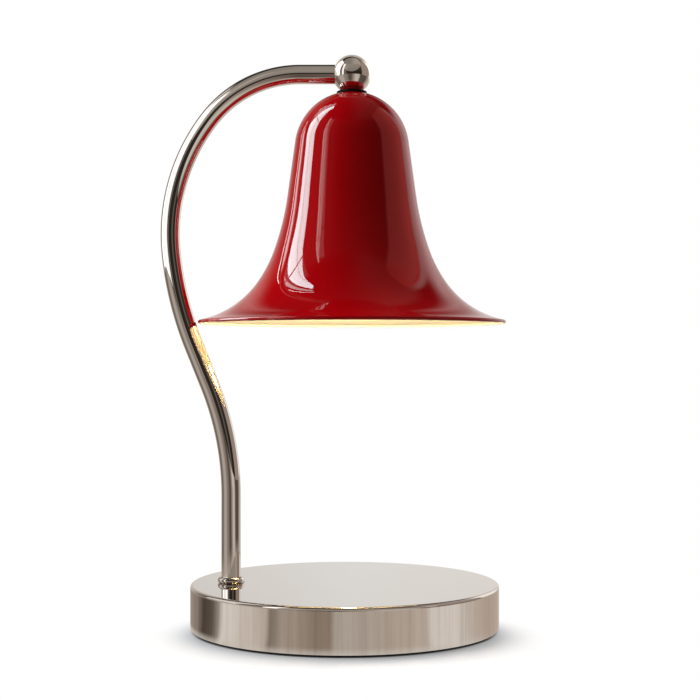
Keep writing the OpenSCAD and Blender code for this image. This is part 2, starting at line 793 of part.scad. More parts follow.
module bulb_base() {
    color("white") at_bulb() difference() {
        rotate_extrude() polygon([
            [0, 0], [bulb_tip_r - 1, 0], [bulb_tip_r, -1], [bulb_tip_r, -8],
            [bulb_base_r, -11.5], [bulb_base_r, -cup_start], [0, -cup_start]
        ]);
        translate([0, 0, -cup_start - over])
            cylinder(h = cup_start - neck_in + over, r = bulb_neck_r + play);
        for (s = [-1, 1]) translate([0, s * pin_r, -pin_root])
            cylinder(h = pin_root + over, r = pin_neck_d / 2 + play);
    }
}

module bulb_pins() {
    head_r = pin_head_d / 2;
    color("silver") at_bulb() for (s = [-1, 1]) translate([0, s * pin_r, 0]) {
        translate([0, 0, -pin_root]) cylinder(h = pin_root + pin_h, r = pin_neck_d / 2);
        translate([0, 0, pin_h - pin_head_h]) cylinder(h = pin_head_h - 0.5, r = head_r);
        translate([0, 0, pin_h - 0.5]) cylinder(h = 0.5, r1 = head_r, r2 = head_r - 0.5);
    }
}

module bulb_reflector() {
    rim_r = bulb_d / 2;
    cup_r = rim_r - 0.8;
    cup_end = bulb_h - bulb_rim_h;
    neck_bore_r = capsule_r + 0.3;
    color("lightgray") at_bulb() rotate_extrude() polygon(concat(
        [[neck_bore_r, -neck_in], [bulb_neck_r, -neck_in], [bulb_neck_r, -cup_start]],
        cup(bulb_neck_r + 1, cup_r, cup_start, cup_end),
        [
            [rim_r, -cup_end], [rim_r, -bulb_h], [lens_r + play, -bulb_h],
            [lens_r + play, -bulb_h + lens_t + 0.5]
        ],
        reversed(cup(neck_bore_r + 1, lens_r - 1, cup_start + cup_wall, bulb_h - lens_t - 0.5)),
        [[neck_bore_r, -cup_start - cup_wall]]
    ));
}

module bulb_capsule() {
    color("aliceblue") at_bulb() translate([0, 0, -neck_in]) {
        translate([0, 0, -capsule_h + capsule_r]) cylinder(h = capsule_h - capsule_r, r = capsule_r);
        translate([0, 0, -capsule_h + capsule_r]) sphere(capsule_r);
    }
}

module bulb_lens() {
    color("lightcyan") at_bulb() translate([0, 0, -bulb_h + 0.5]) cylinder(h = lens_t, r = lens_r);
}

base_shell();
base_weight();
base_plate();
base_screws();
base_pad();
inlet_bush();
terminal_block();
terminal_sleeves();
terminal_screws();
block_screws();
arm_tube();
arm_collar();
foot_nipple();
foot_washer();
foot_nut();
ball();
stop_screw();
live_wire();
neutral_wire();
swivel_nipple();
neck_washer();
shade();
shade_washer();
shade_nut();
holder_bracket();
bracket_nut();
lampholder();
lampholder_contacts();
holder_screws();
head_live_wire();
head_neutral_wire();
bulb_base();
bulb_pins();
bulb_reflector();
bulb_capsule();
bulb_lens();
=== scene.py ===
from math import asin, ceil, cos, degrees, pi, radians, sin, sqrt

import bpy
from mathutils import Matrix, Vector


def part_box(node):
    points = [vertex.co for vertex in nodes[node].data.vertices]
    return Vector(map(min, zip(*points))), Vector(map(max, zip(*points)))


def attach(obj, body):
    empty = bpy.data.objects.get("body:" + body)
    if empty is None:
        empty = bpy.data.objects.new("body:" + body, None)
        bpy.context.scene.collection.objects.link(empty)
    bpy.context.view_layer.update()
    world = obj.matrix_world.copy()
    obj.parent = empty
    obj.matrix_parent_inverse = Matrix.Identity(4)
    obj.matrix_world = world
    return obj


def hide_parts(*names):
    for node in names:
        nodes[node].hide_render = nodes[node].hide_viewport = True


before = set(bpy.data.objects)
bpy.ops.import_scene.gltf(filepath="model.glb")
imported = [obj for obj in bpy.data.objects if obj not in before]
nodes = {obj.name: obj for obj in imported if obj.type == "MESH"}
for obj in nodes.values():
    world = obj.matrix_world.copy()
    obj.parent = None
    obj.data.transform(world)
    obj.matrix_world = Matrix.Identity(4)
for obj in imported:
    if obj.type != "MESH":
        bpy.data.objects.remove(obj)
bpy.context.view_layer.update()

mm = 0.001
touching = 0.002 * mm  # corners nearer than this become one
slip = 0.02 * mm  # gap between a hole and what sits in it
scene = bpy.context.scene


def middle(node, axis):
    # the middle of a CAD node's box along one axis
    return sum(corner[axis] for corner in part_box(node)) / 2


headX = middle("neck_washer", 0)


class Wire:
    # a socket's output; sums and products of wires and numbers make Math nodes
    def __init__(self, tree, socket):
        self.tree = tree
        self.socket = socket

    def node(self, kind, settings=None, inputs=None, output=0):
        made = self.tree.nodes.new("ShaderNode" + kind)
        for name, value in (settings or {}).items():
            if name == "stops":
                fillRamp(made.color_ramp, value)
            else:
                setattr(made, name, value)
        for name, value in (inputs or {}).items():
            feed(self.tree, made.inputs[name], value)
        return Wire(self.tree, made.outputs[output])

    def math(self, operation, first, second):
        return self.node("Math", {"operation": operation}, {0: first, 1: second})

    def calc(self, operation, other=0.0):
        return self.math(operation, self, other)

    def __add__(self, other):
        return self.calc("ADD", other)

    def __radd__(self, other):
        return self.math("ADD", other, self)

    def __sub__(self, other):
        return self.calc("SUBTRACT", other)

    def __rsub__(self, other):
        return self.math("SUBTRACT", other, self)

    def __mul__(self, other):
        return self.calc("MULTIPLY", other)

    def __rmul__(self, other):
        return self.math("MULTIPLY", other, self)

    def __truediv__(self, other):
        return self.calc("DIVIDE", other)

    def __pow__(self, other):
        return self.calc("POWER", other)

    def vector(self, operation, other):
        return self.node("VectorMath", {"operation": operation}, {0: self, 1: other})

    def length(self):
        return self.node("VectorMath", {"operation": "LENGTH"}, {0: self}, output=1)

    def axes(self):
        split = self.node("SeparateXYZ", {}, {"Vector": self}).socket.node
        return [Wire(self.tree, output) for output in split.outputs]

    def ramp(self, stops):
        return self.node("ValToRGB", {"stops": stops}, {"Fac": self})

    def noise(self, scale, detail=2.0, roughness=0.5):
        return self.node("TexNoise", {}, {
            "Vector": self, "Scale": scale, "Detail": detail, "Roughness": roughness})

    def stretched(self, scale):
        return self.node("Mapping", {}, {"Vector": self, "Scale": scale})

    def between(self, low, high):
        # 0 at low, 1 at high, smooth in between
        return self.node("MapRange", {"interpolation_type": "SMOOTHSTEP"}, {
            "Value": self, "From Min": low, "From Max": high})

    def mixed(self, first, second):
        # this wire chooses between two colours
        return self.node("Mix", {"data_type": "RGBA"}, {
            "Factor": self, 6: first, 7: second}, output=2)

    def tinted(self, colour):
        # this wire's number times a colour
        return self.node("VectorMath", {"operation": "SCALE"}, {0: colour, "Scale": self})


def feed(tree, socket, value):
    if isinstance(value, Wire):
        tree.links.new(value.socket, socket)
    elif hasattr(value, "__len__") and len(value) == 3 and socket.type == "RGBA":
        socket.default_value = (*value, 1)
    else:
        socket.default_value = value


def fillRamp(ramp, stops):
    while len(ramp.elements) < len(stops):
        ramp.elements.new(1)
    for element, (place, colour) in zip(ramp.elements, stops):
        element.position = place
        element.color = (*colour, 1)


def newFinish(name, constants):
    # a material, its shader, and the place on the object as a wire
    material = bpy.data.materials.new(name)
    material.use_nodes = True
    tree = material.node_tree
    shader = tree.nodes["Principled BSDF"]
    for socket, value in constants.items():
        feed(tree, shader.inputs[socket], value)
    place = Wire(tree, tree.nodes.new("ShaderNodeTexCoord").outputs["Object"])
    return material, shader, place


def drive(shader, varied):
    for socket, value in varied.items():
        feed(shader.id_data, shader.inputs[socket], value)


def bumped(height, depth):
    return height.node("Bump", {}, {"Distance": depth, "Height": height})


def emptyTree(owner, coordinate):
    # the cleared nodes of the world or a material, and one of its coordinates as a wire
    owner.use_nodes = True
    tree = owner.node_tree
    tree.nodes.clear()
    return tree, Wire(tree, tree.nodes.new("ShaderNodeTexCoord").outputs[coordinate])


def rayKinds(tree):
    # 1 for rays from the camera or on through glass, and 1 for reflected rays
    rays = tree.nodes.new("ShaderNodeLightPath")
    isCamera = Wire(tree, rays.outputs["Is Camera Ray"])
    isThrough = Wire(tree, rays.outputs["Is Transmission Ray"])
    return isCamera.calc("MAXIMUM", isThrough), Wire(tree, rays.outputs["Is Glossy Ray"])


def compass(direction):
    # bearing of a direction in degrees: 0 to the front, -90 to the left, 180 to the back
    x, y = direction.axes()[:2]
    return x.calc("ARCTAN2", 0 - y) * (180 / pi)


def bearingRamp(bearing, stops):
    # colours by bearing, from -180 to 180
    return ((bearing + 180) / 360).ramp([((at + 180) / 360, tint) for at, tint in stops])


def inside(value, ends, soft):
    # 1 between two ends and 0 outside, with soft edges
    low, high = ends
    return value.between(low - soft, low + soft) * (1 - value.between(high - soft, high + soft))


def barred(value, bar, soft=0.5):
    # 0 on a bar, given by its middle and its width
    centre, width = bar
    return 1 - inside(value, (centre - width / 2, centre + width / 2), soft)


def placed(name, data, at):
    # a camera or a light, put at its place
    made = bpy.data.objects.new(name, data)
    made.location = at
    scene.collection.objects.link(made)
    return made


shot = {
    "lens": 76.0, "sensor": 36.0,
    "eye": (2.6 * mm, -722 * mm, 130 * mm),
    "shiftUp": 0.016, "nearest": 0.01,
}


def placeCamera():
    data = bpy.data.cameras.new("photoCamera")
    data.lens, data.sensor_width = shot["lens"], shot["sensor"]
    data.shift_y, data.clip_start = shot["shiftUp"], shot["nearest"]
    camera = placed("photoCamera", data, shot["eye"])
    camera.rotation_euler = (pi / 2, 0, 0)
    scene.camera = camera
    print("camera placed")


# What polished metal and enamel see in the room: walls by bearing from the front (left is minus), a
# tall window on the left and a narrow one beside it, and a ceiling that is lighter to the right. The
# wall in front brightens with height, and the walls beside and behind are dark higher up
room = {
    "walls": [
        (-180, (0.86, 0.845, 0.83)), (-170, (0.72, 0.68, 0.64)), (-150, (0.58, 0.51, 0.46)),
        (-136, (0.26, 0.22, 0.19)), (-109, (0.16, 0.125, 0.10)), (-76, (0.22, 0.185, 0.16)),
        (-38, (0.20, 0.17, 0.15)), (-26, (0.075, 0.058, 0.048)), (60, (0.070, 0.054, 0.044)),
        (65, (0.44, 0.34, 0.30)), (113, (0.42, 0.35, 0.31)), (117, (0.16, 0.12, 0.10)),
        (122, (1.25, 1.16, 1.10)), (146, (1.25, 1.19, 1.15)), (158, (0.80, 0.74, 0.69)),
        (172, (0.86, 0.82, 0.78)), (180, (0.86, 0.845, 0.83)),
    ],
    "window": {"bearings": (-121, -85), "heights": (-6, 57), "glow": 0.8},
    "slit": {"bearings": (-61, -49), "heights": (-6, 50), "glow": 1.3},
    "mullion": (-113, 0.8), "transom": (34.0, 0.7),
    "daylight": (1.0, 0.975, 1.0), "folds": 46, "foldLight": (0.75, 0.5),
    "front": (-30, 60), "frontHeights": (2, 50),
    "frontTones": ((0.45, 0.45, 0.45), (1.8, 1.75, 1.7)),
    "dark": (0.03, 0.026, 0.022),
    "behindPast": (-166, 166), "behindFrom": (10, 30),
    "besidePast": (-128, 128), "besideFrom": (27, 41),
    "ceilingAt": (46, 58), "ceilingAcross": (-0.15, 0.30),
    "ceiling": ((0.050, 0.042, 0.036), (0.25, 0.21, 0.18)),
    "fill": 0.10,
    "soft": {"front": 4, "behind": 6, "beside": 5, "paneSide": 0.6, "paneTop": 1.2},
}


def buildWorld():
    world = bpy.data.worlds.new("studio")
    scene.world = world
    tree, direction = emptyTree(world, "Generated")
    isDirect, isGlossy = rayKinds(tree)
    bearing, soft = compass(direction), room["soft"]
    across, _, up = direction.axes()
    height = up.calc("ARCSINE") * (180 / pi)
    walls = bearingRamp(bearing, room["walls"])
    tones = height.between(*room["frontHeights"]).mixed(*room["frontTones"])
    front = inside(bearing, room["front"], soft["front"])
    walls = walls.vector("MULTIPLY", front.mixed((1, 1, 1), tones))
    behind = 1 - inside(bearing, room["behindPast"], soft["behind"])
    beside = 1 - inside(bearing, room["besidePast"], soft["beside"])
    behind = behind * height.between(*room["behindFrom"])
    beside = beside * height.between(*room["besideFrom"])
    walls = behind.calc("MAXIMUM", beside).mixed(walls, room["dark"])
    ceiling = across.between(*room["ceilingAcross"]).mixed(*room["ceiling"])
    seen = height.between(*room["ceilingAt"]).mixed(walls, ceiling)
    least, gain = room["foldLight"]
    for pane in (room["window"], room["slit"]):
        lit = inside(bearing, pane["bearings"], soft["paneSide"])
        lit = lit * inside(height, pane["heights"], soft["paneTop"])
        lit = lit * barred(bearing, room["mullion"]) * barred(height, room["transom"])
        folds = (bearing / 360).noise(room["folds"], 2) * gain + least
        seen = seen.vector("ADD", (lit * folds * pane["glow"]).tinted(room["daylight"]))
    paper = isDirect.mixed((room["fill"],) * 3, (1, 1, 1))
    shown = isGlossy.mixed(paper, seen)
    background = shown.node("Background", {}, {"Color": shown, "Strength": 1.0})
    out = tree.nodes.new("ShaderNodeOutputWorld")
    tree.links.new(background.socket, out.inputs["Surface"])
    print("room built")


# The floor is white paper to the camera and keeps the soft shadow close to the base, partly cast and
# partly painted shade. Polished metal sees it warmer; the base's side sees light and dark bands
# painted on the floor for reflected rays alone, fanning out from it by the bearing in which the side
# reflects, and the arm and bell see painted streaks further out
floorLook = {
    "radius": 3.0, "sides": 128, "drop": 0.1 * mm, "albedo": (0.51, 0.53, 0.56), "lift": 0.52,
    "farGlow": 0.28, "shadowCentre": (0, -0.034, 0), "litWithin": 0.064, "whiteBeyond": 0.100,
    "contact": 60 * mm, "contactDepth": 1.4, "contactSamples": 8,
    "mirrored": [
        (0.0, (0.66, 0.565, 0.50)), (0.20, (0.64, 0.55, 0.485)), (0.45, (0.30, 0.25, 0.21)),
        (0.8, (0.05, 0.04, 0.035)), (1.0, (0.03, 0.025, 0.02)),
    ],
    "streaks": [
        (-180, (0.75, 0.68, 0.62)), (-128, (0.42, 0.36, 0.32)), (-112, (0.16, 0.13, 0.11)),
        (-92, (0.34, 0.29, 0.26)), (-80, (0.58, 0.51, 0.46)), (-58, (0.60, 0.53, 0.48)),
        (-46, (0.36, 0.31, 0.28)), (-30, (0.30, 0.26, 0.23)), (-16, (0.12, 0.10, 0.08)),
        (-4, (0.13, 0.10, 0.085)), (12, (0.44, 0.37, 0.32)), (26, (0.74, 0.70, 0.64)),
        (44, (0.72, 0.66, 0.60)), (54, (0.14, 0.11, 0.09)), (96, (0.12, 0.095, 0.08)),
        (112, (0.46, 0.39, 0.34)), (134, (0.76, 0.68, 0.62)), (180, (0.75, 0.68, 0.62)),
    ],
    "streaksFrom": (0.15, 0.34),
    "fan": [
        (-180, (0.42, 0.36, 0.31)), (-138, (0.34, 0.28, 0.24)), (-126, (0.10, 0.075, 0.06)),
        (-112, (0.16, 0.13, 0.105)), (-104, (0.40, 0.35, 0.31)), (-98, (1.0, 0.96, 0.93)),
        (-85, (0.92, 0.86, 0.81)), (-58, (0.76, 0.68, 0.61)), (-54, (0.30, 0.25, 0.21)),
        (-44, (0.52, 0.44, 0.39)), (-34, (0.50, 0.42, 0.355)), (-20, (0.38, 0.305, 0.245)),
        (-10, (0.39, 0.31, 0.25)), (-6, (0.61, 0.55, 0.50)), (30, (0.61, 0.53, 0.465)),
        (60, (0.69, 0.60, 0.53)), (66, (1.0, 0.95, 0.92)), (85, (0.94, 0.88, 0.84)),
        (103, (0.76, 0.68, 0.62)), (118, (0.68, 0.58, 0.51)), (128, (0.60, 0.50, 0.43)),
        (180, (0.60, 0.50, 0.43)),
    ],
    "fanRadius": 0.075, "fanReach": (0.125, 0.19),
    "foot": {"reach": (0.006, 0.024), "share": 0.65, "loss": 0.6, "lossAt": (95, 125),
             "tint": (0.86, 0.82, 0.78)},
    "shadeUnderBase": (0.066, 0.073), "shadeUnderBaseTint": (0.01, 0.01, 0.01),
}


def mirrorBearing(place, radius):
    # the bearing in which a round wall reflects a point of the floor, and how far off the point is;
    # four rounds are enough for the bearing to settle
    away = place.length()
    own = compass(place) * (pi / 180)
    bearing = own
    for _ in range(4):
        bearing = own + ((bearing / 2).calc("SINE") * radius / away).calc("ARCSINE")
    across = (bearing / 2).calc("SINE") * radius
    along = (bearing / 2).calc("COSINE") * radius
    distance = (away * away - across * across).calc("SQRT") - along
    return bearing * (180 / pi), distance, away


def buildFloor():
    bpy.ops.mesh.primitive_circle_add(
        vertices=floorLook["sides"], radius=floorLook["radius"], fill_type="NGON",
        location=(0, 0, -floorLook["drop"]))
    floor = bpy.context.object
    floor.name = "floor"
    material = bpy.data.materials.new("paleFloor")
    tree, place = emptyTree(material, "Object")
    isDirect, isGlossy = rayKinds(tree)

    # to the camera: lit paper, a shadow near the base that is partly cast and partly painted, plain
    # white further out
    fromShadow = place.vector("SUBTRACT", floorLook["shadowCentre"]).length()
    white = fromShadow.between(floorLook["litWithin"], floorLook["whiteBeyond"])
    # painted shade: ambient occlusion darkens the floor's colour and its glow close to the base
    sky = place.node("AmbientOcclusion", {"samples": floorLook["contactSamples"]}, {
        "Distance": floorLook["contact"]}, output=1)
    contact = sky ** floorLook["contactDepth"]
    lit = place.node("BsdfDiffuse", {}, {"Color": contact.tinted(floorLook["albedo"])})
    lift = place.node("Emission", {}, {
        "Color": (1, 1, 1), "Strength": isDirect * contact * floorLook["lift"]})
    near = place.node("AddShader", {}, {0: lit, 1: lift})
    farGlow = isDirect * (1 - floorLook["farGlow"]) + floorLook["farGlow"]
    far = place.node("Emission", {}, {"Color": (1, 1, 1), "Strength": farGlow})
    seenDirect = place.node("MixShader", {}, {0: white, 1: near, 2: far})

    # to polished metal: painted reflections, the fan of light and dark bands around the base and the
    # streaks beyond it, and painted shade under the base
    bearing, distance, away = mirrorBearing(place, floorLook["fanRadius"])
    # the foot band is painted light close to the base, and its loss on the right is painted shade
    foot = floorLook["foot"]
    footShare = foot["share"] - bearing.between(*foot["lossAt"]) * foot["loss"]
    footShare = (1 - distance.between(*foot["reach"])) * footShare
    fan = footShare.mixed(bearingRamp(bearing, floorLook["fan"]), foot["tint"])
    warm = (away / floorLook["radius"]).ramp(floorLook["mirrored"])
    streaked = bearingRamp(compass(place), floorLook["streaks"])
    warm = away.between(*floorLook["streaksFrom"]).mixed(warm, streaked)
    shown = distance.between(*floorLook["fanReach"]).mixed(fan, warm)
    # painted shade: the floor under the base's edge is near black to reflected rays
    shown = away.between(*floorLook["shadeUnderBase"]).mixed(floorLook["shadeUnderBaseTint"], shown)
    mirrored = place.node("Emission", {}, {"Color": shown, "Strength": 1.0})
    surface = place.node("MixShader", {}, {0: isGlossy, 1: seenDirect, 2: mirrored})

    # from below it isn't there
    under = Wire(tree, tree.nodes.new("ShaderNodeNewGeometry").outputs["Backfacing"])
    clear = place.node("BsdfTransparent")
    surface = place.node("MixShader", {}, {0: under, 1: surface, 2: clear})
    out = tree.nodes.new("ShaderNodeOutputMaterial")
    tree.links.new(surface.socket, out.inputs["Surface"])
    floor.data.materials.append(material)
    print("floor built")


# Area lamps light everything and stay out of reflections. Cards show in one polished piece each, and
# only in its reflections: two windows, a thin line of light and a red panel in the enamel, a window
# each in arm and ball with a dim wall overhead, and a long low wall in the base. A card's bearing and
# its distance away place it around the upright axis, and lift is its middle's height, in metres
lamps = {
    "windowKey": {"at": (-1.07, -0.12, 0.72), "size": (1.0, 1.2), "power": 21},
    "rightFill": {"at": (1.2, -0.6, 0.7), "size": (1.0, 1.2), "power": 0.5},
    "topSoft": {"at": (0.0, -0.1, 1.4), "size": (1.4, 1.4), "power": 3.5},
    "rimRight": {"at": (0.66, 0.62, 0.62), "size": (0.5, 0.8), "power": 8},
    "rimLeft": {"at": (-0.66, 0.62, 0.62), "size": (0.5, 0.8), "power": 4},
}
lampAim = (0, 0, 0.15)
cards = {
    "bell": [
        {"bearing": -100, "turn": -20, "lift": 1.50, "away": 1.2, "size": (1.06, 3.0), "glow": 20.0,
         "tint": (0.70, 0.97, 1.0), "folds": 0.30, "lean": (0.5, 0.12), "sheer": (0.20, 0.32, 0.30),
         "uprights": ((0.24, 0.09), (0.05, 0.08), (0.62, 0.010)), "levels": ((0.44, 0.016),)},
        {"bearing": -55, "turn": -10, "lift": 0.85, "away": 1.2, "size": (0.26, 1.7), "glow": 7.5,
         "tint": (1.0, 0.86, 0.84), "folds": 0.30, "lean": (1.1, 0.24), "sheer": (1.3, 0.0, 0.0),
         "uprights": ((0.30, 0.07), (0.62, 0.04)), "levels": ((0.62, 0.012),)},
        {"bearing": -126, "lift": 1.6, "away": 1.2, "size": (0.022, 3.2), "glow": 11.0,
         "tint": (1.0, 0.95, 0.92)},
        {"bearing": 91, "lift": 1.0, "away": 1.2, "size": (1.22, 2.4), "glow": 1.5,
         "tint": (1.0, 0.10, 0.08)},
    ],
    "arm": [
        {"bearing": -72, "lift": 0.715, "away": 1.0, "size": (1.46, 1.19), "glow": 1.3,
         "tint": (0.93, 0.97, 1.0)},
        {"bearing": -24, "lift": 0.7, "away": 1.0, "size": (0.16, 1.8), "glow": 0.20},
        {"bearing": 24, "lift": 0.7, "away": 1.0, "size": (0.30, 1.8), "glow": 0.11},
        {"bearing": 0, "elevation": 56, "away": 0.8, "size": (1.5, 1.6), "glow": 0.30, "round": True},
    ],
    "ball": [
        {"bearing": -99, "lift": 0.98, "away": 1.0, "size": (0.90, 1.56), "glow": 1.6,
         "tint": (0.97, 0.98, 1.0)},
        {"bearing": -3, "elevation": 56, "away": 0.8, "size": (1.5, 1.7), "glow": 0.26, "round": True},
        {"bearing": 180, "elevation": 34, "away": 0.8, "size": (1.9, 0.85), "glow": 0.58},
    ],
    "base": [{"bearing": 5, "lift": 0.5, "away": 1.2, "size": (5.2, 0.9), "glow": 0.42}],
}
cardTint = (1.0, 0.93, 0.86)
raisedFrom = 0.24  # a card with an elevation is raised from this height
foldStretch, barEdge = (11, 0.6, 1), 0.004  # many folds across a card, long ones up it
cutEdge = (0.98, 1.0)


def buildCards(key, piece):
    # its cards, lit for this piece alone and only in its reflections
    only = bpy.data.collections.new(key + "Only")
    only.objects.link(piece)
    for look in cards[key]:
        way, rise, away = radians(look["bearing"]), radians(look.get("elevation", 0)), look["away"]
        isRound = look.get("round", False)
        data = bpy.data.lights.new(key + "Card", "AREA")
        data.shape = "ELLIPSE" if isRound else "RECTANGLE"
        data.size, data.size_y = look["size"]
        data.energy = look["glow"] * pi * data.size * data.size_y * (pi / 4 if isRound else 1)
        data.color = look.get("tint", cardTint)
        lift = look.get("lift", raisedFrom + away * sin(rise))
        at = (away * cos(rise) * sin(way), -away * cos(rise) * cos(way), lift)
        card = placed(key + "Card", data, at)
        card.rotation_euler = (pi / 2 - rise, 0, way + radians(look.get("turn", 0)))
        card.visible_camera = card.visible_diffuse = card.visible_transmission = False
        card.light_linking.receiver_collection = only
        if "folds" in look:
            addFolds(data, look)


def addFolds(data, look):
    # curtain folds and window bars across a card; sheer dims it from one place to another, and lean
    # cuts its right side off further with height
    data.use_nodes = True
    tree = data.node_tree
    spot = Wire(tree, tree.nodes.new("ShaderNodeNewGeometry").outputs["Parametric"])
    across, up = spot.axes()[:2]
    folds = spot.stretched(foldStretch).noise(1.0, 3, 0.6)
    strength = 1 - look["folds"] + folds * 2 * look["folds"]
    for bar in look["uprights"]:
        strength = strength * barred(across, bar, barEdge)
    for bar in look["levels"]:
        strength = strength * barred(up, bar, barEdge)
    dim, bright, least = look["sheer"]
    strength = strength * (across.between(dim, bright) * (1 - least) + least)
    slope, start = look["lean"]
    cut = across + (up - start).calc("MAXIMUM") * slope
    strength = strength * (1 - cut.between(*cutEdge))
    feed(tree, tree.nodes["Emission"].inputs["Strength"], strength)


def buildLamps():
    for name, look in lamps.items():
        data = bpy.data.lights.new(name, "AREA")
        data.shape = "RECTANGLE"
        data.size, data.size_y = look["size"]
        data.energy = look["power"]
        lamp = placed(name, data, look["at"])
        lamp.rotation_euler = (Vector(lampAim) - lamp.location).to_track_quat("-Z", "Y").to_euler()
        lamp.visible_camera = lamp.visible_glossy = False
    print("lamps placed")


def startEdit(name):
    # the object that a primitive has just made, at the origin and in edit mode
    piece = bpy.context.object
    piece.name = piece.data.name = name
    bpy.ops.object.transform_apply(location=True, rotation=True, scale=True)
    bpy.ops.object.mode_set(mode="EDIT")
    bpy.ops.mesh.select_all(action="SELECT")
    return piece


def mergeAll():
    bpy.ops.mesh.select_all(action="SELECT")
    bpy.ops.mesh.remove_doubles(threshold=touching)
    bpy.ops.mesh.select_all(action="SELECT")


def endEdit(piece, smoothUpTo=35):
    # doubles merged, faces outwards, smooth up to an angle
    mergeAll()
    bpy.ops.mesh.normals_make_consistent(inside=False)
    bpy.ops.object.mode_set(mode="OBJECT")
    bpy.ops.object.shade_smooth_by_angle(angle=radians(smoothUpTo))
    bpy.ops.object.select_all(action="DESELECT")
    return piece


def arc(centre, radius, start, end, step):
    # points on a circle between two angles, in steps of so many degrees or a little less
    count = max(1, ceil(abs(end - start) / step))
    angles = [radians(start + (end - start) * i / count) for i in range(count + 1)]
    return [(centre[0] + radius * cos(a), centre[1] + radius * sin(a)) for a in angles]


def turned(name, profile, centre, segments=96, smoothUpTo=35):
    # a solid turned on a vertical axis through centre; profile holds (radius, height) pairs
    bpy.ops.mesh.primitive_plane_add(size=mm, location=centre)
    piece = startEdit(name)
    bpy.ops.mesh.merge(type="CENTER")
    bpy.ops.transform.translate(value=(profile[0][0], 0, profile[0][1]))
    for here, there in zip(profile, profile[1:] + profile[:1]):
        step = (there[0] - here[0], 0, there[1] - here[1])
        bpy.ops.mesh.extrude_vertices_move(TRANSFORM_OT_translate={"value": step})
    mergeAll()
    bpy.ops.mesh.spin(steps=segments, angle=2 * pi, center=centre, axis=(0, 0, 1))
    return endEdit(piece, smoothUpTo)


def bored(piece, at, radius, depth, turn=(0, 0, 0), sides=48):
    # a round hole cut into a piece, centred at a point
    bpy.ops.mesh.primitive_cylinder_add(
        vertices=sides, radius=radius, depth=depth, location=at, rotation=turn)
    cutter = bpy.context.object
    bpy.ops.object.select_all(action="DESELECT")
    bpy.context.view_layer.objects.active = piece
    cut = piece.modifiers.new("hole", "BOOLEAN")
    cut.operation, cut.solver, cut.object = "DIFFERENCE", "EXACT", cutter
    bpy.ops.object.modifier_apply(modifier="hole")
    bpy.data.objects.remove(cutter)


def settle(piece, body, finish, node):
    # its finish, the body that it moves with, and the CAD node that it stands for
    piece.data.materials.append(finish)
    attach(piece, body)
    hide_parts(node)


def enamelRed():
    # a fine orange peel over slow waves
    material, shader, place = newFinish("redEnamel", {
        "Roughness": 0.018, "IOR": 1.5, "Specular IOR Level": 0.25})
    drive(shader, {
        "Base Color": place.noise(38, 3).mixed((0.325, 0.0002, 0.0022), (0.362, 0.0003, 0.0028)),
        "Normal": bumped(place.noise(420, 2) + place.noise(60, 1) * 6, 0.0006 * mm)})
    return material


def enamelCream():
    material, shader, place = newFinish("creamEnamel", {"IOR": 1.5})
    cloud = place.noise(55, 3)
    drive(shader, {
        "Base Color": cloud.mixed((0.86, 0.80, 0.68), (0.90, 0.85, 0.74)),
        "Roughness": 0.46 + cloud * 0.12,
        "Normal": bumped(place.noise(300, 2), 0.001 * mm)})
    return material


polish = {
    "tones": ((0.64, 0.60, 0.555), (0.67, 0.635, 0.59)), "rough": 0.010, "hazeRough": 0.014,
    "fine": 420, "coarse": 90, "upright": 0.06, "relief": 0.004 * mm, "streakRough": 0.03,
    "dulledAt": (1.1, 2.1), "dulled": 0.5, "dullTone": (0.44, 0.40, 0.36),
}


def nickel(name, streaksBelow=None):
    # streaks run upright, as a polishing wheel leaves them, on a wall below some height
    material, shader, place = newFinish(name, {"Metallic": 1.0})
    haze = place.noise(90, 4, 0.6)
    tone = haze.mixed(*polish["tones"])
    rough = polish["rough"] + haze * polish["hazeRough"]
    if streaksBelow:
        z = place.axes()[2]
        around = place.node("CombineXYZ", {}, {
            "X": compass(place) / 360, "Y": z * polish["upright"], "Z": 0.0})
        streaks = around.noise(polish["fine"], 3, 0.6) + around.noise(polish["coarse"], 2) * 2
        wall = 1 - z.between(streaksBelow, streaksBelow + 0.4 * mm)
        dulled = streaks.between(*polish["dulledAt"]) * wall * polish["dulled"]
        tone = dulled.mixed(tone, polish["dullTone"])
        rough = rough + streaks * wall * polish["streakRough"]
        drive(shader, {"Normal": bumped(streaks * wall, polish["relief"])})
    drive(shader, {"Base Color": tone, "Roughness": rough})
    return material


def blackRubber():
    material, shader, place = newFinish("blackRubber", {"IOR": 1.45, "Specular IOR Level": 0.1})
    grain = place.noise(1800, 3)
    drive(shader, {
        "Base Color": grain.mixed((0.005, 0.005, 0.005), (0.010, 0.0095, 0.009)),
        "Roughness": 0.22 + grain * 0.16,
        "Normal": bumped(grain, 0.01 * mm)})
    return material


lensLook = {
    "radius": 23 * mm, "cells": 420, "cellLine": 0.12, "lineTone": 0.65,
    "tones": [(0, (1.0, 0.88, 0.66)), (0.35, (1.0, 0.78, 0.46)), (0.8, (0.85, 0.50, 0.20)),
              (1, (0.55, 0.26, 0.08))],
}


def glowingLens():
    # white hot in the middle and amber at its rim, with the fine cells of pressed glass
    material, shader, place = newFinish("warmLens", {
        "Roughness": 0.12, "Emission Strength": 4.0, "Base Color": (0.9, 0.85, 0.75)})
    x, y = place.axes()[:2]
    reach = ((x - headX) * (x - headX) + y * y).calc("SQRT") / lensLook["radius"]
    cells = place.node("TexVoronoi", {"feature": "DISTANCE_TO_EDGE"}, {
        "Vector": place, "Scale": lensLook["cells"]})
    faint = lensLook["lineTone"]
    lines = cells.between(0.0, lensLook["cellLine"]) * (1 - faint) + faint
    drive(shader, {"Emission Color": lines.tinted(reach.ramp(lensLook["tones"]))})
    return material


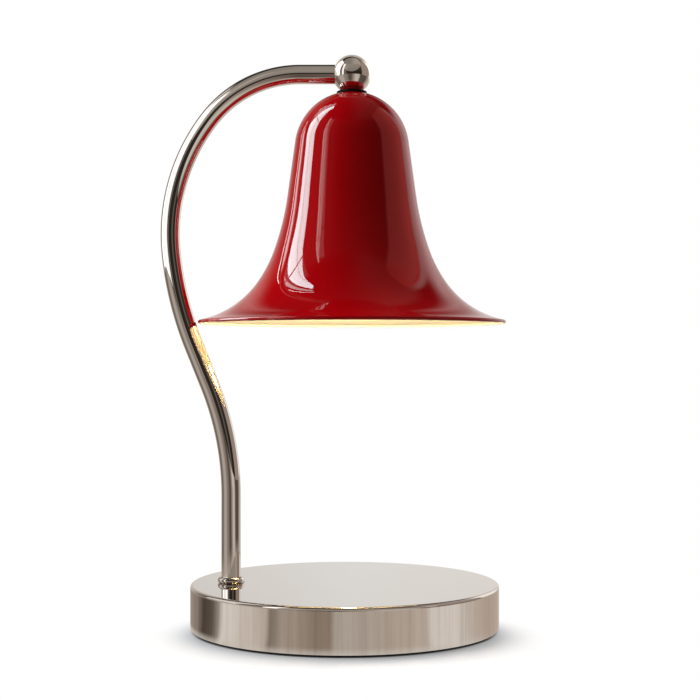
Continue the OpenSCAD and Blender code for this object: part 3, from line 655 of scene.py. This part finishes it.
bell = {
    "domeRadius": 28 * mm, "flatRadius": 7.5 * mm, "holeRadius": 4.1 * mm, "wall": 1.0 * mm,
    "taper": 7.9, "slopes": (19.5, 34.3, 78.2), "flareRadii": (136 * mm, 66 * mm),
    "beadRadius": 0.9 * mm, "beadOverlap": 8, "liningShort": 1.5,
    "segments": 180, "steps": (2.5, 0.8, 1.5, 2), "beadStep": 15,
    "liningFaces": (-0.02, -0.5),
}


def onCircle(angle):
    return Vector((cos(radians(angle)), sin(radians(angle))))


def bellSide(depth, rimRadius, height, endSlope):
    # the dome, the tapered waist and three tangent stretches of flare, at a depth below the outside
    taper, (slope1, slope2, slope3) = bell["taper"], bell["slopes"]
    radius1, radius2 = bell["flareRadii"]
    domeRise = sqrt(bell["domeRadius"] ** 2 - bell["flatRadius"] ** 2)
    domeCentre = Vector((0, height - domeRise))
    bead = bell["beadRadius"]
    flareEnd = Vector((rimRadius - bead, bead)) + bead * onCircle(slope3)
    waistTop = domeCentre + bell["domeRadius"] * onCircle(taper)
    # the waist's length and the last radius close the gap that is left between dome and rim
    leftOver = (flareEnd - waistTop - radius1 * (onCircle(taper) - onCircle(slope1))
                - radius2 * (onCircle(slope1) - onCircle(slope2)))
    lastWay = onCircle(slope2) - onCircle(slope3)
    waistWay = Vector((sin(radians(taper)), -cos(radians(taper))))
    crossed = waistWay.x * lastWay.y - waistWay.y * lastWay.x
    waistRun = (leftOver.x * lastWay.y - leftOver.y * lastWay.x) / crossed
    radius3 = (waistWay.x * leftOver.y - waistWay.y * leftOver.x) / crossed
    centre1 = waistTop + waistRun * waistWay + radius1 * onCircle(taper)
    centre2 = centre1 + (radius2 - radius1) * onCircle(slope1)
    centre3 = centre2 + (radius3 - radius2) * onCircle(slope2)
    domeStart = degrees(asin((domeRise - depth) / (bell["domeRadius"] - depth)))
    domeStep, step1, step2, step3 = bell["steps"]
    return (arc(domeCentre, bell["domeRadius"] - depth, domeStart, taper, domeStep)
            + arc(centre1, -radius1 - depth, taper, slope1, step1)
            + arc(centre2, -radius2 - depth, slope1, slope2, step2)
            + arc(centre3, -radius3 - depth, slope2, endSlope, step3))


def lineBell(shade, reach):
    # faces that look towards the axis, or down from near it, take the lining
    facingAxis, facingDown = bell["liningFaces"]
    for face in shade.data.polygons:
        outward = Vector((face.center.x - headX, face.center.y, 0))
        inward = face.normal.dot(outward.normalized()) < facingAxis
        if inward or (face.normal.z < facingDown and outward.length < reach):
            face.material_index = 1


def buildShade(enamel, lining):
    low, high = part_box("shade")
    rimRadius, height = (high.x - low.x) / 2, high.z - low.z
    bead, wall, slope = bell["beadRadius"], bell["wall"], bell["slopes"][2]
    hole = bell["holeRadius"]
    # the bead rolls round from the flare's end until it meets the inside of the wall
    beadEnd = slope + 90 + degrees(asin((wall - bead) / bead)) + bell["beadOverlap"] - 360
    profile = ([(hole, height)] + bellSide(0, rimRadius, height, slope)
               + arc((rimRadius - bead, bead), bead, slope, beadEnd, bell["beadStep"])
               + bellSide(wall, rimRadius, height, slope - bell["liningShort"])[::-1]
               + [(hole, height - wall)])
    shade = turned("bellShade", profile, (headX, 0, low.z), bell["segments"])
    settle(shade, "head", enamel, "shade")
    shade.data.materials.append(lining)
    lineBell(shade, rimRadius / 2)
    buildCards("bell", shade)
    print("bell shade built")


arm = {
    "radius": 4.715 * mm, "sides": 64, "degreesPerStep": 0.75,
    "rise": 42.826 * mm, "lean": 21.9876, "leanRadius": 145 * mm, "leanRun": 20 * mm,
    "bowRadius": 165 * mm, "bowLean": 5.5, "shoulderRadius": 92 * mm, "shoulderLean": 37.5,
    "crownRadius": 56 * mm, "socket": 6 * mm,
}


def buildArm(metal):
    # one tube: up, leaning left, back over its bow and shoulder, then level into the ball
    foot = Vector((middle("arm_collar", 0), 0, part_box("arm_tube")[0].z))
    bpy.ops.mesh.primitive_circle_add(
        vertices=arm["sides"], radius=arm["radius"], fill_type="NGON", location=foot)
    piece = startEdit("armTube")
    way = Vector((0, 0, 1))
    here = foot.copy()

    def straight(length):
        nonlocal here
        bpy.ops.mesh.extrude_region_move(TRANSFORM_OT_translate={"value": way * length})
        here = here + way * length

    def bend(radius, turn):
        # plus turns towards -X, minus towards +X
        nonlocal here, way
        turnSign = 1 if turn > 0 else -1
        centre = here - Vector((way.z, 0, -way.x)) * turnSign * radius
        bpy.ops.mesh.spin(steps=ceil(abs(turn) / arm["degreesPerStep"]), angle=radians(abs(turn)),
                          center=centre, axis=(0, turnSign, 0))
        swung = radians(-turn)
        way = Vector((way.x * cos(swung) + way.z * sin(swung), 0,
                      way.z * cos(swung) - way.x * sin(swung)))
        here = centre + Vector((way.z, 0, -way.x)) * turnSign * radius

    straight(arm["rise"])
    bend(arm["leanRadius"], arm["lean"])
    straight(arm["leanRun"])
    bend(arm["bowRadius"], arm["bowLean"] - arm["lean"])
    bend(arm["shoulderRadius"], -arm["bowLean"] - arm["shoulderLean"])
    bend(arm["crownRadius"], arm["shoulderLean"] - 90)
    straight(headX - arm["socket"] - here.x)
    endEdit(piece)
    settle(piece, "stand", metal, "arm_tube")
    buildCards("arm", piece)
    print("arm built")


collarLook = {"step": 9, "segments": 72}


def buildCollar(metal):
    # a ring with a fully rounded edge
    low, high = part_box("arm_collar")
    outer, height = (high.x - low.x) / 2, high.z - low.z
    edge = height / 2
    bore = arm["radius"] + slip
    rounded = arc((outer - edge, edge), edge, -90, 90, collarLook["step"])
    profile = [(bore, 0)] + rounded + [(bore, height)]
    centre = (middle("arm_collar", 0), 0, low.z)
    collar = turned("footCollar", profile, centre, collarLook["segments"])
    settle(collar, "stand", metal, "arm_collar")
    print("collar built")


ballLook = {"firstRing": 89, "step": 2}


def buildBall(metal):
    # flat below, where the shade hangs, with the stop screw's hole in its back
    low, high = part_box("ball")
    radius = (high.y - low.y) / 2
    ballZ = high.z - radius
    flatAt = low.z - ballZ
    flatAngle = degrees(asin(flatAt / radius))
    rounded = arc((0, 0), radius, ballLook["firstRing"], flatAngle, ballLook["step"])
    profile = [(0, radius)] + rounded + [(0, flatAt)]
    ball = turned("endBall", profile, (headX, 0, ballZ))
    screwLow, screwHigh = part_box("stop_screw")
    screwAt = (screwLow + screwHigh) / 2
    hole = (screwHigh.z - screwLow.z) / 2 + slip
    bored(ball, (screwAt.x, radius, screwAt.z), hole, 2 * (radius - screwLow.y), (pi / 2, 0, 0))
    settle(ball, "stand", metal, "ball")
    buildCards("ball", ball)
    print("ball built")


washerLook = {
    "ring": 1.2 * mm, "edge": 0.3 * mm, "edgeStep": 15, "bore": 4.1 * mm, "segments": 72,
    "hub": ((6.7 * mm, 1.2 * mm), (6.5 * mm, 1.27 * mm), (6.2 * mm, 1.3 * mm)),
    "hubAbove": 0.01 * mm,
}


def buildWasher(finish, enamel):
    # a black ring around an enamelled hub
    low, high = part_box("neck_washer")
    outer = (high.x - low.x) / 2
    ring, edge, step = washerLook["ring"], washerLook["edge"], washerLook["edgeStep"]
    bore = washerLook["bore"]
    profile = ([(bore, 0)] + arc((outer - edge, edge), edge, -90, 0, step)
               + arc((outer - edge, ring - edge), edge, 0, 90, step)
               + list(washerLook["hub"]) + [(bore, high.z - low.z)])
    washer = turned("neckWasher", profile, (headX, 0, low.z), washerLook["segments"])
    settle(washer, "head", finish, "neck_washer")
    washer.data.materials.append(enamel)
    for face in washer.data.polygons:
        if face.center.z > low.z + ring + washerLook["hubAbove"]:
            face.material_index = 1
    print("neck washer built")


baseLook = {
    "wall": 1.2 * mm, "edge": 1.4 * mm, "edgeStep": 9, "loop": 0.4 * mm, "chamfer": 0.3 * mm,
    "segments": 192, "seatGap": 0.1 * mm, "seatCut": 10 * mm, "seatSides": 72,
    "inletRadius": 4.15 * mm, "inletCut": 8 * mm, "streaksEnd": 1.8 * mm,
}


def buildBase(metal):
    # a drawn shell with loops beside its rounded edge, the collar's seat and the inlet's hole
    low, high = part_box("base_shell")
    outer, top, bottom = (high.x - low.x) / 2, high.z, low.z
    wall, edge, loop = baseLook["wall"], baseLook["edge"], baseLook["loop"]
    chamfer, inner = baseLook["chamfer"], outer - wall
    profile = ([(0, top), (outer - edge - loop, top)]
               + arc((outer - edge, top - edge), edge, 90, 0, baseLook["edgeStep"])
               + [(outer, top - edge - loop), (outer, bottom + chamfer + loop),
                  (outer, bottom + chamfer), (outer - chamfer, bottom), (inner, bottom),
                  (inner, top - wall), (0, top - wall)])
    shell = turned("baseShell", profile, (0, 0, 0), baseLook["segments"])
    footLow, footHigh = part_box("arm_collar")
    seat, cut = (footHigh.x - footLow.x) / 2 + baseLook["seatGap"], baseLook["seatCut"]
    seatAt = (middle("arm_collar", 0), 0, footLow.z + cut / 2)
    bored(shell, seatAt, seat, cut, sides=baseLook["seatSides"])
    bored(shell, (0, outer, middle("inlet_bush", 2)), baseLook["inletRadius"],
          baseLook["inletCut"], (pi / 2, 0, 0))
    settle(shell, "stand", metal, "base_shell")
    buildCards("base", shell)
    print("base shell built")


bulbLook = {
    "neckIn": 13 * mm, "neckRadius": 9 * mm, "boreRadius": 4.8 * mm,
    "cupStart": 17 * mm, "cupWall": 1.5 * mm, "cupFlare": 1 * mm, "cupInset": 0.8 * mm,
    "rimHeight": 4 * mm, "rimRound": 0.15 * mm, "rimWall": 1 * mm,
    "lensInset": 2 * mm, "lensDeep": 2 * mm, "lensGap": 0.1 * mm,
    "facets": 32, "facetWall": 0.2 * mm, "facetAngle": 4, "cupSteps": 12,
    "flutes": 7, "fluteDepth": 0.25 * mm, "fluted": 0.94, "lensEdge": 0.3 * mm,
}


def cupCurve(start, end, startDepth, endDepth):
    # the radius grows steadily while the depth grows as the square
    count = bulbLook["cupSteps"]
    steps = [i / count for i in range(count + 1)]
    return [(start + (end - start) * t, -startDepth - (endDepth - startDepth) * t * t) for t in steps]


def buildReflector(mirror):
    # a smooth glass cup, lined with flat facets
    low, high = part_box("bulb_reflector")
    rim, tall = (high.x - low.x) / 2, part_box("bulb_base")[1].z - low.z
    centre = (headX, 0, low.z + tall)
    neck, bore, wall = bulbLook["neckRadius"], bulbLook["boreRadius"], bulbLook["cupWall"]
    start, cupEnd = bulbLook["cupStart"], tall - bulbLook["rimHeight"]
    lens = rim - bulbLook["lensInset"] + bulbLook["lensGap"]
    within = rim - bulbLook["lensInset"] - bulbLook["rimWall"]
    lensAt, flare, edge = bulbLook["lensDeep"] - tall, bulbLook["cupFlare"], bulbLook["rimRound"]
    lining = cupCurve(bore + flare, within, start + wall, -lensAt)[::-1]
    outside = [(bore, -bulbLook["neckIn"]), (neck, -bulbLook["neckIn"]), (neck, -start)]
    outside += cupCurve(neck + flare, rim - bulbLook["cupInset"], start, cupEnd)
    outside += [(rim - edge, -cupEnd), (rim, -cupEnd - edge), (rim, edge - tall),
                (rim - edge, -tall), (lens, -tall), (lens, lensAt)]
    behind = [(radius + bulbLook["facetWall"], depth) for radius, depth in lining]
    cup = turned("reflectorCup", outside + behind + [(bore, -start - wall)], centre)
    facets = turned("reflectorFacets", lining + behind[::-1], centre, bulbLook["facets"],
                    bulbLook["facetAngle"])
    facets.select_set(True)
    cup.select_set(True)
    bpy.context.view_layer.objects.active = cup
    bpy.ops.object.join()
    bpy.ops.object.select_all(action="DESELECT")
    settle(cup, "bulb", mirror, "bulb_reflector")
    print("reflector built")


def buildLens(glass):
    # a disc with fine round flutes on its face
    low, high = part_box("bulb_lens")
    radius, thick, edge = (high.x - low.x) / 2, high.z - low.z, bulbLook["lensEdge"]
    reach, depth, count = radius * bulbLook["fluted"], bulbLook["fluteDepth"], 4 * bulbLook["flutes"]
    face = [(reach * i / count, depth / 2 * (1 - cos(pi * i / 2))) for i in range(count + 1)]
    profile = face + [(radius - edge, 0), (radius, edge), (radius, thick), (0, thick)]
    lens = turned("bulbLens", profile, (headX, 0, low.z))
    settle(lens, "bulb", glass, "bulb_lens")
    print("lens built")


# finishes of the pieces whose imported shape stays; tones are its darkest and lightest colour
grains = {
    "castIron": {"tones": ((0.035, 0.034, 0.033), (0.085, 0.080, 0.075)), "metal": 0.7,
                 "scale": 260, "rough": (0.48, 0.72), "relief": 0.09 * mm},
    "platedSteel": {"tones": ((0.52, 0.51, 0.49), (0.68, 0.67, 0.64)), "metal": 1.0,
                    "scale": 700, "rough": (0.22, 0.38), "relief": 0.006 * mm},
    "turnedBrass": {"tones": ((0.62, 0.43, 0.16), (0.76, 0.56, 0.25)), "metal": 1.0,
                    "scale": 600, "rough": (0.18, 0.34), "relief": 0.005 * mm},
    "blackFoam": {"tones": ((0.010, 0.010, 0.010), (0.032, 0.031, 0.030)), "metal": 0.0,
                  "scale": 1400, "rough": (0.86, 0.98), "relief": 0.12 * mm},
    "whitePlastic": {"tones": ((0.74, 0.73, 0.69), (0.82, 0.81, 0.78)), "metal": 0.0,
                     "scale": 900, "rough": (0.36, 0.48), "relief": 0.012 * mm},
    "brownWire": {"tones": ((0.115, 0.042, 0.016), (0.160, 0.062, 0.026)), "metal": 0.0,
                  "scale": 500, "rough": (0.34, 0.46), "relief": 0.01 * mm},
    "blueWire": {"tones": ((0.012, 0.060, 0.260), (0.022, 0.085, 0.330)), "metal": 0.0,
                 "scale": 500, "rough": (0.34, 0.46), "relief": 0.01 * mm},
    "whiteCeramic": {"tones": ((0.76, 0.745, 0.70), (0.85, 0.84, 0.80)), "metal": 0.0,
                     "scale": 420, "rough": (0.26, 0.46), "relief": 0.03 * mm},
    "mirrorGlass": {"tones": ((0.80, 0.80, 0.82), (0.90, 0.90, 0.90)), "metal": 1.0,
                    "scale": 240, "rough": (0.05, 0.12), "relief": 0.004 * mm},
}
carried = {
    "castIron": ("base_weight",),
    "platedSteel": ("base_plate", "base_screws", "block_screws", "terminal_screws", "foot_washer",
                    "foot_nut", "stop_screw", "shade_washer", "shade_nut", "holder_bracket",
                    "bracket_nut", "holder_screws", "bulb_pins"),
    "turnedBrass": ("terminal_sleeves", "lampholder_contacts", "foot_nipple", "swivel_nipple"),
    "blackFoam": ("base_pad",),
    "whitePlastic": ("terminal_block",),
    "brownWire": ("live_wire", "head_live_wire"),
    "blueWire": ("neutral_wire", "head_neutral_wire"),
    "whiteCeramic": ("lampholder", "bulb_base"),
}


grainMix = {"cloudSize": 9, "grain": 0.55, "cloud": 0.45, "spread": (0.3, 0.7)}


def grained(name):
    # fine grain over larger clouds
    look = grains[name]
    material, shader, place = newFinish(name, {"Metallic": look["metal"]})
    grain = place.noise(look["scale"], 4, 0.6)
    cloud = place.noise(look["scale"] / grainMix["cloudSize"], 3)
    mixed = grain * grainMix["grain"] + cloud * grainMix["cloud"]
    low, high = look["rough"]
    drive(shader, {
        "Base Color": mixed.between(*grainMix["spread"]).mixed(*look["tones"]),
        "Roughness": grain * (high - low) + low,
        "Normal": bumped(grain, look["relief"])})
    return material


def clearGlass():
    material, shader, place = newFinish("clearGlass", {"IOR": 1.46, "Transmission Weight": 1.0})
    waves = place.noise(120, 2)
    drive(shader, {
        "Base Color": waves.mixed((0.95, 0.97, 0.97), (0.99, 0.99, 0.98)),
        "Roughness": waves * 0.05, "Normal": bumped(waves, 0.02 * mm)})
    return material


def refinish(node, material):
    nodes[node].data.materials.clear()
    nodes[node].data.materials.append(material)


def finishCarried(rubber):
    for name, kept in carried.items():
        material = grained(name)
        for node in kept:
            refinish(node, material)
    refinish("inlet_bush", rubber)
    refinish("bulb_capsule", clearGlass())
    print("carried pieces finished")


# the bulb's light below the shade, and the hot spot that it leaves on the lip's far side
glows = {
    "bulbGlow": {"at": (headX, 0, 150 * mm), "power": 0.48, "tint": (1.0, 0.70, 0.31),
                 "size": 8 * mm, "mirrored": True},
    "lipGlow": {"at": (headX, 56 * mm, 155 * mm), "power": 0.006, "tint": (1.0, 0.86, 0.62),
                "size": 3 * mm, "mirrored": False},
}


def buildGlows():
    # they light every piece but not the floor
    lit = bpy.data.collections.new("litByBulb")
    for piece in [item for item in scene.objects if item.type == "MESH" and item.name != "floor"]:
        lit.objects.link(piece)
    for name, look in glows.items():
        data = bpy.data.lights.new(name, "POINT")
        data.energy, data.color, data.shadow_soft_size = look["power"], look["tint"], look["size"]
        lamp = placed(name, data, look["at"])
        lamp.visible_camera, lamp.visible_glossy = False, look["mirrored"]
        lamp.light_linking.receiver_collection = lit
    print("bulb lit")


bpy.ops.object.select_all(action="DESELECT")
placeCamera()
buildWorld()
buildFloor()
buildLamps()
polished = nickel("polishedNickel")
rubber = blackRubber()
redEnamel = enamelRed()
buildShade(redEnamel, enamelCream())
buildArm(polished)
buildCollar(polished)
buildBall(polished)
buildWasher(rubber, redEnamel)
buildBase(nickel("wheelPolishedNickel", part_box("base_shell")[1].z - baseLook["streaksEnd"]))
buildReflector(grained("mirrorGlass"))
buildLens(glowingLens())
finishCarried(rubber)
buildGlows()

scene.view_settings.view_transform = "Standard"
